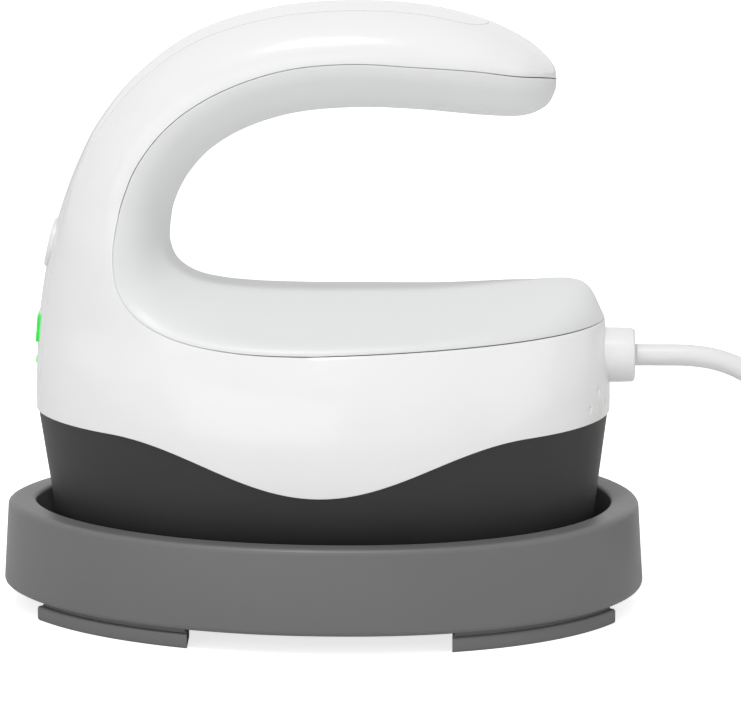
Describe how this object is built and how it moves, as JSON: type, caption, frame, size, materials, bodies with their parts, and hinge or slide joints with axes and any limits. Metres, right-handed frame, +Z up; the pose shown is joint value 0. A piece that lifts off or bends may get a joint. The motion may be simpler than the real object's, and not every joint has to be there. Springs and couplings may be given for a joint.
{
  "type": "handheld heat press",
  "caption": "Compact C-handled craft heat press with a heated sole plate, standing in its insulated safety base, with a coiled mains cord.",
  "frame": {"origin": "middle of the base's outline, on the surface that its feet stand on", "axes": "+X from the button end to the cord end, +Z up, +Y across the press"},
  "size_m": [0.2381, 0.1231, 0.1265],
  "materials": {
    "shell_white": "glossy moulded plastic",
    "inner_white": "satin moulded plastic, slightly greyer than the outer covers",
    "strip_white": "glossy moulded plastic",
    "button_white": "glossy moulded plastic",
    "light_green": "clear tinted light pipe",
    "bracket_grey": "moulded plastic",
    "board_green": "solder-masked board",
    "switch_black": "moulded plastic",
    "emitter": "moulded lamp body",
    "steel": "zinc-plated steel",
    "skirt_grey": "satin heat-resistant plastic",
    "plate_metal": "ground aluminium with a non-stick coat",
    "element_mica": "mica wrapped heater",
    "brass": "turned brass",
    "sensor_glass": "epoxy bead",
    "blanket_fibre": "needled glass fibre",
    "component": "moulded component bodies",
    "wire": "silicone insulated wire",
    "gland_white": "glossy moulded plastic",
    "cord_white": "soft satin jacket",
    "tie_black": "hook-and-loop strap",
    "plug_white": "satin overmoulding",
    "base_grey": "satin moulded plastic",
    "pad_grey": "heat-proof silicone mat",
    "foot_grey": "soft-touch moulding"
  },
  "bodies": {
    "base": {"base_tray": "base_grey", "base_pad": "pad_grey", "base_underside": "base_grey", "front_left_foot": "foot_grey", "front_right_foot": "foot_grey", "rear_left_foot": "foot_grey", "rear_right_foot": "foot_grey", "base_screws": "steel"},
    "press": {"left_cover": "shell_white", "right_cover": "shell_white", "inner_cover": "inner_white", "spine_strip": "strip_white", "level_light": "light_green", "power_light": "light_green", "display_bracket": "bracket_grey", "display_board": "board_green", "tact_switch": "switch_black", "light_emitters": "emitter", "display_screws": "steel", "skirt": "skirt_grey", "heating_plate": "plate_metal", "heating_element": "element_mica", "element_clamp": "steel", "clamp_screws": "steel", "thermal_fuse": "brass", "temperature_sensor": "sensor_glass", "sensor_clip": "steel", "heat_shield": "steel", "shield_posts": "brass", "shield_screws": "steel", "insulation_blanket": "blanket_fibre", "control_board": "board_green", "board_parts": "component", "tilt_switch": "steel", "board_screws": "steel", "lead_wires": "wire", "cover_screws": "steel", "cord_bushing": "gland_white", "cord_clamp": "bracket_grey", "clamp_bar_screws": "steel", "power_cord": "cord_white", "cord_coil": "cord_white", "cord_tail": "cord_white", "cord_tie": "tie_black", "plug_body": "plug_white", "plug_pins": "brass"},
    "button": {"power_button": "button_white"}
  },
  "joints": [
    {"name": "press_lift", "type": "slide", "parent": "base", "child": "press", "axis": [0, 0, 1], "range_m": [0, 0.06]},
    {"name": "button_press", "type": "slide", "parent": "press", "child": "button", "axis": [0.9719, 0, -0.2353], "range_m": [0, 0.0005], "stiffness_N_per_m": 600}
  ]
}
